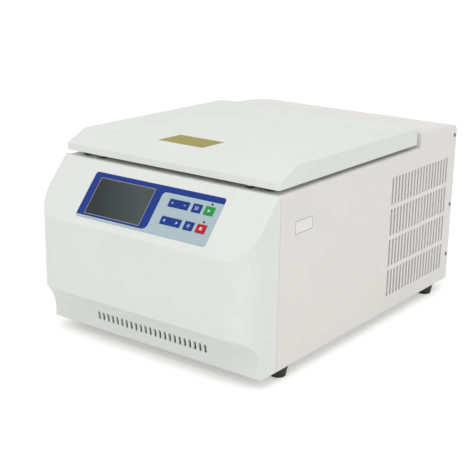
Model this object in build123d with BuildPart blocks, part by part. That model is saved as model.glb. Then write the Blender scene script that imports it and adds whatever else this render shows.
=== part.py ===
from math import cos, radians, sin, tan
import os

from build123d import *

# Cabinet outline: plan size, rubber feet, and the heights above the feet
body_width = 430
body_depth = 648
foot_height = 19
deck_rise = 275
break_rise = 188.4
cove_top_rise = 67.5
cove_foot_rise = 15
bulge_depth = 41.3
plinth_land = 0.5
slope_run = 74
seam_setback = 81.5
top_edge_radius = 7
front_edge_radius = 2.5
cove_edge_radius = 1.5
wall = 3
sheet = 2
fit_gap = 0.3
pin_gap = 0.05

# Rear hump behind the lid
hump_start = 507
hump_front_rise = 302.4
hump_middle_rise = 301.6
hump_rear_rise = 294.5

# Lid
lid_side_gap = 1
lid_setback = 78
lid_length = 419.4
lid_gap = 7.4
lid_lip = 11
lid_crease_run = 43
lid_thickness = 30.7
lid_rear_drop = 1.2
lid_corner_radius = 4
lid_edge_radius = 1.6
liner_thickness = 3

# Lid hinge and lid lock
hinge_spacing = 250
hinge_back = 522
hinge_rise = 284
hinge_pin_diameter = 8
knuckle_diameter = 16
knuckle_width = 26
cheek_thickness = 4
arm_thickness = 4
arm_reach = 70
hook_inset = 65
hook_back = 98
hook_clearance = 3
hook_thickness = 5
hook_depth = 12
hook_length = 38
hook_window = 10
bolt_diameter = 6
bolt_travel = 12
bar_thickness = 5
bar_height = 14
guide_inset = 40
bumper_diameter = 14
bumper_inset = 30

# Chamber and its cold jacket
chamber_setback = 259
bowl_diameter = 270
bowl_depth = 141
bowl_wall = 1.5
bowl_flange = 22
seal_width = 10
jacket_thickness = 6
jacket_height = 115
foam_thickness = 19.5
shelf_rise = 105
shelf_thickness = 3
shelf_inset = 25
boot_diameter = 48
boot_bore = 26
sensor_diameter = 6

# Motor on its rubber dampers
damper_diameter = 24
damper_height = 24
damper_circle = 150
motor_plate_diameter = 180
motor_plate_thickness = 4
motor_diameter = 104
motor_height = 88
motor_wall = 4
air_gap = 0.8
armature_diameter = 56
stack_height = 50
bearing_diameter = 35
bearing_width = 11
spindle_diameter = 16

# Fixed-angle rotor with four wells
rotor_clearance = 10
rotor_diameter = 224
rotor_rim_diameter = 166
rotor_hub_diameter = 48
well_count = 4
well_tilt = 22
well_diameter = 44
well_depth = 68
well_circle = 100
well_floor = 7
nut_diameter = 34
nut_height = 16

# Control panel on the slope: u runs to the right, v runs up the slope
overlay_width = 262
overlay_height = 81
overlay_thickness = 1
overlay_recess = 0.6
overlay_u = 2
overlay_v = 54.4
overlay_radius = 5
screen_width = 113.4
screen_height = 63.3
screen_u = -56.6
screen_v = 54
key_row_low = 39.6
key_row_pitch = 30
key_width = 17
key_height = 14
key_columns = (89.7, 113.1)
rocker_width = 38
rocker_height = 13
rocker_u = 55
key_proud = 1
key_travel = 0.8
key_flange = 1.2
key_flange_thickness = 1.5
rocker_play = 0.5
rocker_lift = 0.4
led_diameter = 4
led_rise = 11.5
board_depth = 16
board_thickness = 1.6
board_width = 258
board_height = 86
stem_depth = 9.6
switch_body = 6
switch_height = 4

# Air slots: four rows on each side and one row in the cove
louvre_columns = 19
louvre_pitch = 11.1
louvre_width = 5
louvre_height = 47
louvre_rows = 4
louvre_row_pitch = 55
louvre_first_rise = 50.5
louvre_middle_setback = 132
cove_slot_count = 23
cove_slot_pitch = 10.1
cove_slot_width = 4.4
cove_slot_height = 13.6
cove_slot_rise = 24.5

# Feet and screws
foot_top_diameter = 32
foot_bottom_diameter = 24
foot_inset = 17
foot_front_back = 111.5
foot_rear_setback = 54
screw_diameter = 4
screw_head_diameter = 7.6
screw_edge = 7
screw_rises = (49, 146.4, 277.5)

# Rear panel, mains inlet and mains switch
rear_inset = 2
rear_flange = 16
inlet_x = -150
inlet_rise = 60
inlet_flange_width = 50
inlet_flange_height = 28
inlet_body_width = 30
inlet_body_height = 22
inlet_cavity_width = 25
inlet_cavity_height = 17
inlet_body_depth = 30
inlet_cavity_depth = 22
inlet_pin_length = 14
mains_switch_x = -95
switch_frame_width = 30
switch_frame_height = 22
switch_frame_depth = 18
rocker_tilt = 12
exhaust_slots = 14
exhaust_pitch = 11
exhaust_slot_height = 70
exhaust_rise = 180

# Refrigeration set, sized and placed from the room between the bulkhead and the back
bulkhead_back = 423
compressor_share = 0.525
compressor_inset = 125
compressor_height = 128
grommet_diameter = 20
grommet_height = 14
grommet_inset = 15
condenser_inset = 65
condenser_width = 34
condenser_end_room = 30.5
condenser_height = 190
condenser_shift = 5.5
fin_pitch = 22
fan_margin = 2
fan_rim = 7
fan_depth = 30
fan_rise = 118
blade_count = 5
blade_tip_gap = 4
fan_hub_diameter = 44
fan_motor_diameter = 40
fan_motor_length = 26
pipe_diameter = 6
pipe_bend = 15
drier_diameter = 24
drier_length = 90
inverter_width = 34
inverter_front_room = 12
inverter_rear_room = 63
inverter_height = 130
inverter_fin_pitch = 16

# Planes of the cabinet worked out from the sizes above
front_y = -body_depth / 2
rear_y = body_depth / 2
side_x = body_width / 2
inner_x = side_x - wall
plinth_y = front_y + bulge_depth
seam_y = front_y + seam_setback
slope_top_y = front_y + slope_run
base_z = foot_height
floor_z = base_z + sheet
deck_z = base_z + deck_rise
deck_under_z = deck_z - wall
break_z = base_z + break_rise
cove_top_z = base_z + cove_top_rise
cove_foot_z = base_z + cove_foot_rise
hump_y = front_y + hump_start
hump_middle_y = (hump_y + rear_y) / 2
hump_front_z = base_z + hump_front_rise
hump_middle_z = base_z + hump_middle_rise
hump_rear_z = base_z + hump_rear_rise
lid_front_y = front_y + lid_setback
lid_rear_y = lid_front_y + lid_length
lid_z = deck_z + lid_gap
lid_top_z = lid_z + lid_thickness
hinge_y = front_y + hinge_back
hinge_z = base_z + hinge_rise
chamber_y = front_y + chamber_setback
bulkhead_y = front_y + bulkhead_back
rear_room = rear_y - bulkhead_y
lid_width = body_width - 2 * lid_side_gap
hook_spacing = body_width - 2 * hook_inset
guide_spacing = hook_spacing - 2 * guide_inset
bumper_spacing = body_width - 2 * bumper_inset
shelf_width = body_width - 2 * shelf_inset
cove_rise = cove_top_rise - cove_foot_rise
cove_radius = (bulge_depth**2 + cove_rise**2) / (2 * bulge_depth)


def front_block(rear, floor, inset):
    """The front moulding's outer form, or its inner form drawn in by a wall: a block with rounded
    front corners, hollowed below by the cove and cut off above by the sloped panel."""
    cove_centre = (plinth_y - cove_radius, cove_foot_z)
    reach = cove_radius + inset
    clear_y = front_y - cove_radius
    lean = Vector(slope_run, deck_z - break_z).normalized()
    low = Vector(front_y, break_z) + Vector(lean.Y, -lean.X) * inset - lean * bulge_depth
    high = low + lean * deck_rise
    with BuildPart() as block:
        with BuildSketch(Plane.XY.offset(floor)) as plan:
            with Locations((0, front_y + inset)):
                Rectangle(2 * (side_x - inset), rear - front_y - inset, align=(Align.CENTER, Align.MIN))
            fillet(plan.vertices().group_by(Axis.Y)[0], bulge_depth - plinth_land - inset)
        extrude(amount=deck_z - inset - floor)
        with BuildSketch(Plane.YZ):
            with BuildLine():
                Line((clear_y, floor - 1), (plinth_y + inset, floor - 1))
                Line((plinth_y + inset, floor - 1), (plinth_y + inset, cove_foot_z))
                CenterArc(cove_centre, reach, 0, 90)
                Line((cove_centre[0], cove_foot_z + reach), (clear_y, cove_foot_z + reach))
                Line((clear_y, cove_foot_z + reach), (clear_y, floor - 1))
            make_face()
            with BuildLine():
                Polyline(low, high, (low.X, high.Y), close=True)
            make_face()
        extrude(amount=side_x + 1, both=True, mode=Mode.SUBTRACT)
    return block.part


panel_plane = Plane(
    origin=(0, front_y, break_z), x_dir=(1, 0, 0), z_dir=(0, break_z - deck_z, slope_run)
)
panel_axis = Axis(panel_plane.origin, panel_plane.z_dir)
key_rows = (key_row_low, key_row_low + key_row_pitch)
small_keys = [(u, v) for v in key_rows for u in key_columns]
rocker_keys = [(rocker_u, v) for v in key_rows]
led_places = [(key_columns[-1], v + led_rise) for v in key_rows]
key_top = overlay_thickness - overlay_recess + key_proud
board_corners = [(overlay_u + side * (board_width / 2 - 4), overlay_v + end * (board_height / 2 - 5))
                 for side in (-1, 1) for end in (-1, 1)]

# The front moulding is one thin-walled piece: sloped panel, rounded front and hollow cove down to the plinth
outer_front = front_block(seam_y, base_z, 0)
inner_front = front_block(seam_y + wall, base_z - wall, wall)
with BuildPart() as front_moulding:
    add(outer_front)
    cove_edges = front_moulding.edges().filter_by(
        lambda edge: cove_foot_z + 1 < edge.center().Z < cove_top_z + 0.01 and edge.center().Y < plinth_y - 0.1
    )
    fillet(cove_edges, cove_edge_radius)
    slope_face = front_moulding.faces().sort_by(panel_axis)[-1]
    fillet(slope_face.edges(), front_edge_radius)
    add(inner_front, mode=Mode.SUBTRACT)
    with BuildSketch(panel_plane) as overlay_seat:
        with Locations((overlay_u, overlay_v)):
            RectangleRounded(overlay_width + fit_gap, overlay_height + fit_gap, overlay_radius)
    extrude(amount=-overlay_recess, mode=Mode.SUBTRACT)
    with BuildSketch(panel_plane) as panel_holes:
        with Locations((screen_u, screen_v)):
            Rectangle(screen_width, screen_height)
        with Locations(*small_keys):
            Rectangle(key_width + 2 * fit_gap, key_height + 2 * fit_gap)
        with Locations(*rocker_keys):
            Rectangle(rocker_width + 2 * rocker_play, rocker_height + 2 * fit_gap)
        with Locations(*led_places):
            Circle(led_diameter / 2)
    extrude(amount=-2 * wall, mode=Mode.SUBTRACT)
    with BuildSketch(panel_plane.offset(-wall)) as board_bosses:
        with Locations(*board_corners):
            Circle(4)
    extrude(amount=wall - board_depth)
    cove_slot_z = base_z + cove_slot_rise
    with BuildSketch(Plane.XZ.offset(-plinth_y - 2 * wall)) as cove_slots:
        with Locations((0, cove_slot_z)):
            with GridLocations(cove_slot_pitch, 1, cove_slot_count, 1):
                Rectangle(cove_slot_width, cove_slot_height)
    extrude(amount=bulge_depth, mode=Mode.SUBTRACT)
front_moulding.part.label = "front_moulding"

# The cabinet cover wraps both sides and the top deck in one sheet and rises into the hump at the rear
with BuildPart() as cabinet_cover:
    with BuildSketch(Plane.YZ) as cover_profile:
        with BuildLine():
            Polyline((rear_y, hump_rear_z), (rear_y, base_z), (seam_y, base_z), (seam_y, deck_z),
                     (hump_y, deck_z), (hump_y, hump_front_z))
            ThreePointArc((hump_y, hump_front_z), (hump_middle_y, hump_middle_z), (rear_y, hump_rear_z))
        make_face()
    extrude(amount=side_x, both=True)
    long_edges = cabinet_cover.edges().filter_by(
        lambda edge: abs(abs(edge.center().X) - side_x) < 0.01 and edge.center().Z > deck_z - 0.01
    )
    fillet(long_edges.filter_by(lambda edge: edge.center().Y < hump_y or edge.center().Y > hump_y + 1),
           top_edge_radius)
    with BuildSketch(Plane.YZ) as cavity_profile:
        with BuildLine():
            Polyline((rear_y + wall, hump_rear_z - wall), (rear_y + wall, base_z - wall),
                     (seam_y - wall, base_z - wall), (seam_y - wall, deck_under_z),
                     (hump_y + wall, deck_under_z), (hump_y + wall, hump_front_z - wall))
            ThreePointArc((hump_y + wall, hump_front_z - wall), (hump_middle_y, hump_middle_z - wall),
                          (rear_y + wall, hump_rear_z - wall))
        make_face()
    extrude(amount=inner_x, both=True, mode=Mode.SUBTRACT)
    with BuildSketch(Plane.XY.offset(deck_under_z)) as deck_holes:
        with Locations((0, chamber_y)):
            Circle(bowl_diameter / 2 + sheet + seal_width)
        with Locations((0, front_y + hook_back)):
            with GridLocations(hook_spacing, 1, 2, 1):
                Rectangle(hook_thickness + 8, hook_depth + 10)
    extrude(amount=wall, mode=Mode.SUBTRACT)
    slot_end = hinge_y + knuckle_diameter / 2 + 1.5
    with BuildSketch(Plane.XY.offset(deck_z)) as hinge_slots:
        with Locations((0, (hump_y - 1 + slot_end) / 2)):
            with GridLocations(hinge_spacing, 1, 2, 1):
                Rectangle(knuckle_width + 4, slot_end - hump_y + 1)
    extrude(amount=hump_front_z - deck_z + 1, mode=Mode.SUBTRACT)
    louvre_y = rear_y - louvre_middle_setback
    louvre_z = base_z + louvre_first_rise + (louvre_rows - 1) * louvre_row_pitch / 2
    with BuildSketch(Plane.YZ.offset(-side_x)) as louvres:
        with Locations((louvre_y, louvre_z)):
            with GridLocations(louvre_pitch, louvre_row_pitch, louvre_columns, louvre_rows):
                Rectangle(louvre_width, louvre_height)
    extrude(amount=body_width, mode=Mode.SUBTRACT)
    for side in (-1, 1):
        for rise in screw_rises:
            with Locations(Plane(origin=(side * side_x, rear_y - screw_edge, base_z + rise),
                                 z_dir=(side, 0, 0)).location):
                CounterSinkHole(screw_diameter / 2 + pin_gap, screw_head_diameter / 2 + pin_gap, wall)
cabinet_cover.part.label = "cabinet_cover"

# Base tray with upturned sides, and the rubber feet under it
foot_places = [(side * (side_x - foot_inset), y)
               for side in (-1, 1) for y in (front_y + foot_front_back, rear_y - foot_rear_setback)]
tray_front_y = plinth_y + wall
tray_rear_y = rear_y - rear_inset
with BuildPart() as base_tray:
    with BuildSketch(Plane.XY.offset(base_z)) as tray_floor:
        with Locations((0, tray_front_y)):
            Rectangle(2 * inner_x, tray_rear_y - tray_front_y, align=(Align.CENTER, Align.MIN))
    extrude(amount=sheet)
    with BuildSketch(Plane.XY.offset(floor_z)) as tray_sides:
        with Locations((0, seam_y)):
            with GridLocations(2 * inner_x - sheet, 1, 2, 1):
                Rectangle(sheet, tray_rear_y - seam_y - 2 * rear_flange, align=(Align.CENTER, Align.MIN))
    extrude(amount=22)
    with BuildSketch(Plane.XY.offset(base_z)) as foot_screw_holes:
        with Locations(*foot_places):
            Circle(screw_diameter / 2 + pin_gap)
    extrude(amount=sheet, mode=Mode.SUBTRACT)
base_tray.part.label = "base_tray"

foot_sink = foot_height / 2
with BuildPart() as rubber_feet:
    with BuildSketch(Plane.XY) as foot_bottom:
        with Locations(*foot_places):
            Circle(foot_bottom_diameter / 2)
    extrude(amount=foot_height, taper=-Vector(foot_height, 0).get_angle(
        Vector(foot_height, (foot_top_diameter - foot_bottom_diameter) / 2)))
    with BuildSketch(Plane.XY) as foot_recess:
        with Locations(*foot_places):
            Circle(screw_head_diameter / 2 + fit_gap)
    extrude(amount=foot_sink, mode=Mode.SUBTRACT)
    with BuildSketch(Plane.XY.offset(foot_sink)) as foot_hole:
        with Locations(*foot_places):
            Circle(screw_diameter / 2 + pin_gap)
    extrude(amount=foot_height - foot_sink, mode=Mode.SUBTRACT)
rubber_feet.part.label = "rubber_feet"

with BuildPart() as foot_screws:
    with BuildSketch(Plane.XY.offset(foot_sink - sheet)) as foot_screw_heads:
        with Locations(*foot_places):
            Circle(screw_head_diameter / 2)
    extrude(amount=sheet)
    with BuildSketch(Plane.XY.offset(foot_sink)) as foot_screw_shanks:
        with Locations(*foot_places):
            Circle(screw_diameter / 2)
    extrude(amount=foot_height - foot_sink + 2 * sheet)
foot_screws.part.label = "foot_screws"

# Rear panel inside the cover, with flanges that the side screws hold
panel_top_z = hump_rear_z - wall - fit_gap
switch_z = base_z + inlet_rise
panel_y = rear_y - rear_inset
with BuildPart() as rear_panel:
    with BuildSketch(Plane.XZ.offset(-panel_y)) as rear_outline:
        with Locations((0, floor_z)):
            Rectangle(2 * inner_x, panel_top_z - floor_z, align=(Align.CENTER, Align.MIN))
        fillet(rear_outline.vertices().group_by(Axis.Y)[-1], top_edge_radius)
    extrude(amount=sheet)
    with BuildSketch(Plane.XY.offset(floor_z)) as rear_flanges:
        with Locations((0, panel_y - sheet)):
            with GridLocations(2 * inner_x - sheet, 1, 2, 1):
                Rectangle(sheet, rear_flange, align=(Align.CENTER, Align.MAX))
    extrude(amount=panel_top_z - floor_z - top_edge_radius)
    with BuildSketch(Plane.XZ.offset(-panel_y)) as rear_cutouts:
        with Locations((inlet_x, switch_z)):
            Rectangle(inlet_body_width, inlet_body_height)
        with Locations((mains_switch_x, switch_z)):
            Rectangle(switch_frame_width, switch_frame_height)
        with Locations((0, base_z + exhaust_rise)):
            with GridLocations(exhaust_pitch, 1, exhaust_slots, 1):
                Rectangle(louvre_width, exhaust_slot_height)
    extrude(amount=sheet, mode=Mode.SUBTRACT)
    for side in (-1, 1):
        for rise in screw_rises:
            with Locations(Plane(origin=(side * inner_x, rear_y - screw_edge, base_z + rise),
                                 z_dir=(side, 0, 0)).location):
                Hole(screw_diameter / 2 + pin_gap, sheet)
rear_panel.part.label = "rear_panel"

with BuildPart() as cover_screws:
    head_depth = (screw_head_diameter - screw_diameter) / 2
    for side in (-1, 1):
        for rise in screw_rises:
            head_plane = Plane(origin=(side * side_x, rear_y - screw_edge, base_z + rise), z_dir=(-side, 0, 0))
            with Locations(head_plane.location):
                Cone(screw_head_diameter / 2, screw_diameter / 2, head_depth,
                     align=(Align.CENTER, Align.CENTER, Align.MIN))
                Cylinder(screw_diameter / 2, wall + 2 * sheet,
                         align=(Align.CENTER, Align.CENTER, Align.MIN))
cover_screws.part.label = "cover_screws"

# Mains inlet: a flanged socket body with three pins
with BuildPart() as mains_inlet:
    inlet_plane = Plane(origin=(inlet_x, panel_y, switch_z), x_dir=(1, 0, 0), z_dir=(0, -1, 0))
    with BuildSketch(inlet_plane):
        Rectangle(inlet_body_width, inlet_body_height)
    extrude(amount=inlet_body_depth)
    with BuildSketch(inlet_plane):
        RectangleRounded(inlet_flange_width, inlet_flange_height, 3)
    extrude(amount=-(rear_inset - pin_gap))
    with BuildSketch(inlet_plane.offset(pin_gap - rear_inset)):
        Rectangle(inlet_cavity_width, inlet_cavity_height)
    extrude(amount=inlet_cavity_depth, mode=Mode.SUBTRACT)
    with BuildSketch(inlet_plane.offset(pin_gap - rear_inset + inlet_cavity_depth)):
        with Locations((-7, 1.5), (7, 1.5), (0, -2.5)):
            Rectangle(2, 4)
    extrude(amount=-inlet_pin_length)
mains_inlet.part.label = "mains_inlet"

# Mains switch: a frame snapped into the panel and a rocker on its cross pin
frame_opening_width = switch_frame_width - 2 * sheet
frame_opening_height = switch_frame_height - 2 * sheet
rocker_axis_y = panel_y - 7
with BuildPart() as switch_frame:
    switch_plane = Plane(origin=(mains_switch_x, panel_y, switch_z), x_dir=(1, 0, 0), z_dir=(0, -1, 0))
    with BuildSketch(switch_plane):
        Rectangle(switch_frame_width, switch_frame_height)
    extrude(amount=switch_frame_depth)
    with BuildSketch(switch_plane):
        RectangleRounded(switch_frame_width + 4, switch_frame_height + 4, 2)
    extrude(amount=-(rear_inset - pin_gap))
    with BuildSketch(switch_plane.offset(-rear_inset)):
        Rectangle(frame_opening_width, frame_opening_height)
    extrude(amount=switch_frame_depth, mode=Mode.SUBTRACT)
    with BuildSketch(Plane(origin=(mains_switch_x, rocker_axis_y, switch_z), z_dir=(0, 0, 1))):
        Circle(1.5)
    extrude(amount=frame_opening_height / 2, both=True)
switch_frame.part.label = "switch_frame"

with BuildPart() as mains_switch:
    half = frame_opening_width / 2 - 2.5
    with BuildSketch(Plane(origin=(mains_switch_x, rocker_axis_y, switch_z - frame_opening_height / 2 + fit_gap),
                           x_dir=(cos(radians(rocker_tilt)), sin(radians(rocker_tilt)), 0), z_dir=(0, 0, 1))):
        Polygon((-half, 6), (0, 4), (half, 6), (half - 1, -1), (0, -5), (1 - half, -1), align=None)
        Circle(1.5 + pin_gap, mode=Mode.SUBTRACT)
    extrude(amount=frame_opening_height - 2 * fit_gap)
mains_switch.part.label = "mains_switch"

# Chamber: stainless bowl, cold jacket round it, foam, and the rubber seal in the deck opening
bowl_radius = bowl_diameter / 2
bowl_outer = bowl_radius + bowl_wall
jacket_outer = bowl_outer + jacket_thickness
foam_outer = jacket_outer + foam_thickness
flange_under_z = deck_under_z - bowl_wall
bowl_floor_z = deck_under_z - bowl_depth
bowl_under_z = bowl_floor_z - bowl_wall
shelf_z = base_z + shelf_rise
boot_radius = boot_diameter / 2
jacket_z = flange_under_z - 10 - jacket_height
chamber_plane = Plane(origin=(0, chamber_y, 0), x_dir=(1, 0, 0), z_dir=(0, -1, 0))
sensor_radius = bowl_radius - 18
with BuildPart() as chamber_bowl:
    with BuildSketch(chamber_plane):
        Polygon((boot_radius, bowl_under_z), (bowl_outer, bowl_under_z), (bowl_outer, flange_under_z),
                (bowl_radius + bowl_flange, flange_under_z), (bowl_radius + bowl_flange, deck_under_z),
                (bowl_radius, deck_under_z), (bowl_radius, bowl_floor_z), (boot_radius, bowl_floor_z),
                align=None)
    revolve(axis=Axis((0, chamber_y, 0), (0, 0, 1)))
    with BuildSketch(Plane.XY.offset(bowl_under_z)):
        with Locations((0, chamber_y + sensor_radius)):
            Circle(sensor_diameter / 2)
    extrude(amount=bowl_wall, mode=Mode.SUBTRACT)
chamber_bowl.part.label = "chamber_bowl"

with BuildPart() as evaporator_jacket:
    with BuildSketch(Plane.XY.offset(jacket_z)):
        with Locations((0, chamber_y)):
            Circle(jacket_outer)
            Circle(bowl_outer, mode=Mode.SUBTRACT)
    extrude(amount=jacket_height)
evaporator_jacket.part.label = "evaporator_jacket"

shelf_top_z = shelf_z + shelf_thickness
with BuildPart() as chamber_insulation:
    with BuildSketch(chamber_plane):
        Polygon((boot_radius, shelf_top_z), (foam_outer, shelf_top_z), (foam_outer, flange_under_z),
                (bowl_outer, flange_under_z), (bowl_outer, jacket_z + jacket_height),
                (jacket_outer, jacket_z + jacket_height), (jacket_outer, jacket_z), (bowl_outer, jacket_z),
                (bowl_outer, bowl_under_z), (boot_radius, bowl_under_z), align=None)
    revolve(axis=Axis((0, chamber_y, 0), (0, 0, 1)))
    with BuildSketch(Plane.XY.offset(shelf_top_z)):
        with Locations((0, chamber_y + sensor_radius)):
            Circle(sensor_diameter / 2)
    extrude(amount=bowl_under_z - shelf_top_z, mode=Mode.SUBTRACT)
chamber_insulation.part.label = "chamber_insulation"

seal_inner = bowl_radius + sheet
with BuildPart() as chamber_seal:
    with BuildSketch(chamber_plane):
        Polygon((seal_inner, deck_under_z), (seal_inner + seal_width, deck_under_z),
                (seal_inner + seal_width, deck_z), (seal_inner + seal_width + 2, deck_z),
                (seal_inner + seal_width + 2, deck_z + 2), (seal_inner + seal_width / 2, lid_z - fit_gap),
                (seal_inner + 2, lid_z - fit_gap), (seal_inner, deck_z), align=None)
    revolve(axis=Axis((0, chamber_y, 0), (0, 0, 1)))
chamber_seal.part.label = "chamber_seal"

with BuildPart() as chamber_sensor:
    with BuildSketch(Plane.XY.offset(shelf_top_z)):
        with Locations((0, chamber_y + sensor_radius)):
            Circle(sensor_diameter / 2)
    extrude(amount=bowl_floor_z - shelf_top_z + 14)
    fillet(chamber_sensor.edges().sort_by(Axis.Z)[-1], sensor_diameter / 2 - 0.5)
chamber_sensor.part.label = "chamber_sensor"

# Shelf that carries the chamber: a bridge of folded sheet over the motor
shelf_rear_y = bulkhead_y - fit_gap
with BuildPart() as chamber_shelf:
    with BuildSketch(Plane.XZ.offset(-shelf_rear_y)) as shelf_section:
        with Locations((0, floor_z)):
            Rectangle(shelf_width, shelf_top_z - floor_z, align=(Align.CENTER, Align.MIN))
            Rectangle(shelf_width - 2 * sheet, shelf_z - floor_z, align=(Align.CENTER, Align.MIN),
                      mode=Mode.SUBTRACT)
    extrude(amount=shelf_rear_y - seam_y - sheet)
    with BuildSketch(Plane.XY.offset(shelf_z)):
        with Locations((0, chamber_y)):
            Circle(boot_radius)
    extrude(amount=shelf_thickness, mode=Mode.SUBTRACT)
chamber_shelf.part.label = "chamber_shelf"

with BuildPart() as bulkhead:
    with BuildSketch(Plane.XZ.offset(-bulkhead_y - sheet)) as bulkhead_outline:
        with Locations((0, floor_z)):
            Rectangle(2 * (inner_x - sheet - fit_gap), deck_under_z - floor_z, align=(Align.CENTER, Align.MIN))
    extrude(amount=sheet)
bulkhead.part.label = "bulkhead"

# Drive: dampers on the tray, mounting plate, and the motor with its stator and bearings
damper_places = [(damper_circle / 2 * cos(radians(a)), chamber_y + damper_circle / 2 * sin(radians(a)))
                 for a in (45, 135, 225, 315)]
plate_z = floor_z + damper_height
motor_flange_z = plate_z + motor_plate_thickness
motor_z = floor_z + 6
motor_top_z = motor_z + motor_height
motor_radius = motor_diameter / 2
shaft_radius = spindle_diameter / 2
bearing_radius = bearing_diameter / 2
with BuildPart() as motor_dampers:
    with BuildSketch(Plane.XY.offset(floor_z)):
        with Locations(*damper_places):
            Circle(damper_diameter / 2)
    extrude(amount=damper_height)
motor_dampers.part.label = "motor_dampers"

with BuildPart() as motor_plate:
    with BuildSketch(Plane.XY.offset(plate_z)):
        with Locations((0, chamber_y)):
            Circle(motor_plate_diameter / 2)
            Circle(motor_radius + fit_gap, mode=Mode.SUBTRACT)
    extrude(amount=motor_plate_thickness)
motor_plate.part.label = "motor_plate"

with BuildPart() as motor_housing:
    low_seat_z = motor_z + motor_wall + bearing_width
    high_seat_z = motor_top_z - motor_wall - bearing_width
    with BuildSketch(chamber_plane):
        Polygon((shaft_radius + 2, motor_z), (motor_radius, motor_z), (motor_radius, motor_flange_z),
                (motor_radius + 14, motor_flange_z), (motor_radius + 14, motor_flange_z + motor_wall),
                (motor_radius, motor_flange_z + motor_wall), (motor_radius, motor_top_z),
                (shaft_radius + 2, motor_top_z), (shaft_radius + 2, motor_top_z - motor_wall),
                (bearing_radius, motor_top_z - motor_wall), (bearing_radius, high_seat_z),
                (motor_radius - motor_wall, high_seat_z), (motor_radius - motor_wall, low_seat_z),
                (bearing_radius, low_seat_z), (bearing_radius, motor_z + motor_wall),
                (shaft_radius + 2, motor_z + motor_wall), align=None)
    revolve(axis=Axis((0, chamber_y, 0), (0, 0, 1)))
motor_housing.part.label = "motor_housing"

stack_z = (low_seat_z + high_seat_z - stack_height) / 2
with BuildPart() as motor_stator:
    with BuildSketch(Plane.XY.offset(stack_z)):
        with Locations((0, chamber_y)):
            Circle(motor_radius - motor_wall)
            Circle(armature_diameter / 2 + air_gap, mode=Mode.SUBTRACT)
    extrude(amount=stack_height)
motor_stator.part.label = "motor_stator"

with BuildPart() as motor_bearings:
    for z in (motor_z + motor_wall, high_seat_z):
        with BuildSketch(Plane.XY.offset(z)):
            with Locations((0, chamber_y)):
                Circle(bearing_radius)
                Circle(shaft_radius + pin_gap, mode=Mode.SUBTRACT)
        extrude(amount=bearing_width)
motor_bearings.part.label = "motor_bearings"

with BuildPart() as spindle_boot:
    with BuildSketch(chamber_plane):
        Polygon((boot_bore / 2, motor_top_z), (boot_radius - 4, motor_top_z), (boot_radius - 4, shelf_z - 2),
                (boot_radius, shelf_z), (boot_radius, bowl_floor_z), (boot_radius + 6, bowl_floor_z),
                (boot_radius + 6, bowl_floor_z + 2), (boot_bore / 2, bowl_floor_z + 2), align=None)
    revolve(axis=Axis((0, chamber_y, 0), (0, 0, 1)))
spindle_boot.part.label = "spindle_boot"

# Spindle with a taper for the rotor, the armature on it, the rotor and its clamping nut
rotor_z = bowl_floor_z + rotor_clearance
tilt = radians(well_tilt)
well_radius = well_diameter / 2
mouth_z = rotor_z + well_floor + well_depth * cos(tilt) + well_radius * sin(tilt)
rim_z = mouth_z + (rotor_rim_diameter - well_circle) / 2 * tan(tilt)
hub_z = mouth_z - (well_circle - rotor_hub_diameter) / 2 * tan(tilt)
taper_radius = shaft_radius + 3
with BuildPart() as spindle:
    with BuildSketch(chamber_plane):
        Polygon((0, motor_z + motor_wall), (shaft_radius, motor_z + motor_wall), (shaft_radius, motor_top_z + 4),
                (taper_radius, motor_top_z + 8), (taper_radius, rotor_z), (shaft_radius - 1, rotor_z + 40),
                (shaft_radius - 3, rotor_z + 40), (shaft_radius - 3, hub_z + nut_height - 4),
                (0, hub_z + nut_height - 4), align=None)
    revolve(axis=Axis((0, chamber_y, 0), (0, 0, 1)))
spindle.part.label = "spindle"

with BuildPart() as motor_armature:
    with BuildSketch(Plane.XY.offset(stack_z)):
        with Locations((0, chamber_y)):
            Circle(armature_diameter / 2)
            Circle(shaft_radius, mode=Mode.SUBTRACT)
    extrude(amount=stack_height)
motor_armature.part.label = "motor_armature"

with BuildPart() as angle_rotor:
    with BuildSketch(Plane(origin=(0, chamber_y, 0), x_dir=(1, 1, 0), z_dir=(1, -1, 0))):
        Polygon((taper_radius, rotor_z), (rotor_diameter / 2 - 18, rotor_z), (rotor_diameter / 2, rotor_z + 12),
                (rotor_diameter / 2, rotor_z + 28), (rotor_rim_diameter / 2 + 4, rim_z),
                (rotor_rim_diameter / 2, rim_z), (rotor_hub_diameter / 2, hub_z), (shaft_radius - 3, hub_z),
                (shaft_radius - 3, rotor_z + 40), (shaft_radius - 1, rotor_z + 40), align=None)
    revolve(axis=Axis((0, chamber_y, 0), (0, 0, 1)))
    for index in range(well_count):
        turn = 2 * radians(180) * index / well_count
        mouth = Vector(cos(turn), sin(turn), 0) * (well_circle / 2) + Vector(0, chamber_y, mouth_z)
        lean = Vector(-cos(turn) * sin(tilt), -sin(turn) * sin(tilt), cos(tilt))
        with BuildSketch(Plane(origin=mouth + lean * well_radius, z_dir=lean)):
            Circle(well_radius)
        extrude(amount=-well_depth - well_radius, mode=Mode.SUBTRACT)
angle_rotor.part.label = "angle_rotor"

with BuildPart() as rotor_nut:
    with BuildSketch(Plane.XY.offset(hub_z)):
        with Locations((0, chamber_y)):
            RegularPolygon(nut_diameter / 2, 8)
            Circle(shaft_radius - 3, mode=Mode.SUBTRACT)
    extrude(amount=nut_height)
rotor_nut.part.label = "rotor_nut"

# Lid: moulded shell, foam, liner, hooks for the lock and arms for the hinge
lid_half = lid_width / 2


def lid_outline(inset, floor):
    """Wedge profile of the lid run across its width, drawn in by the wall on every side but the floor."""
    front = lid_front_y + inset
    rear = lid_rear_y - inset
    crease = lid_front_y + lid_crease_run
    with BuildSketch(Plane.YZ) as profile:
        with BuildLine():
            Polyline((front, floor), (front, lid_z + lid_lip - inset), (crease + inset / 2, lid_top_z - inset),
                     (rear, lid_top_z - lid_rear_drop - inset), (rear, floor), close=True)
        make_face()
    return extrude(profile.sketch, amount=lid_half - inset, both=True)


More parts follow.
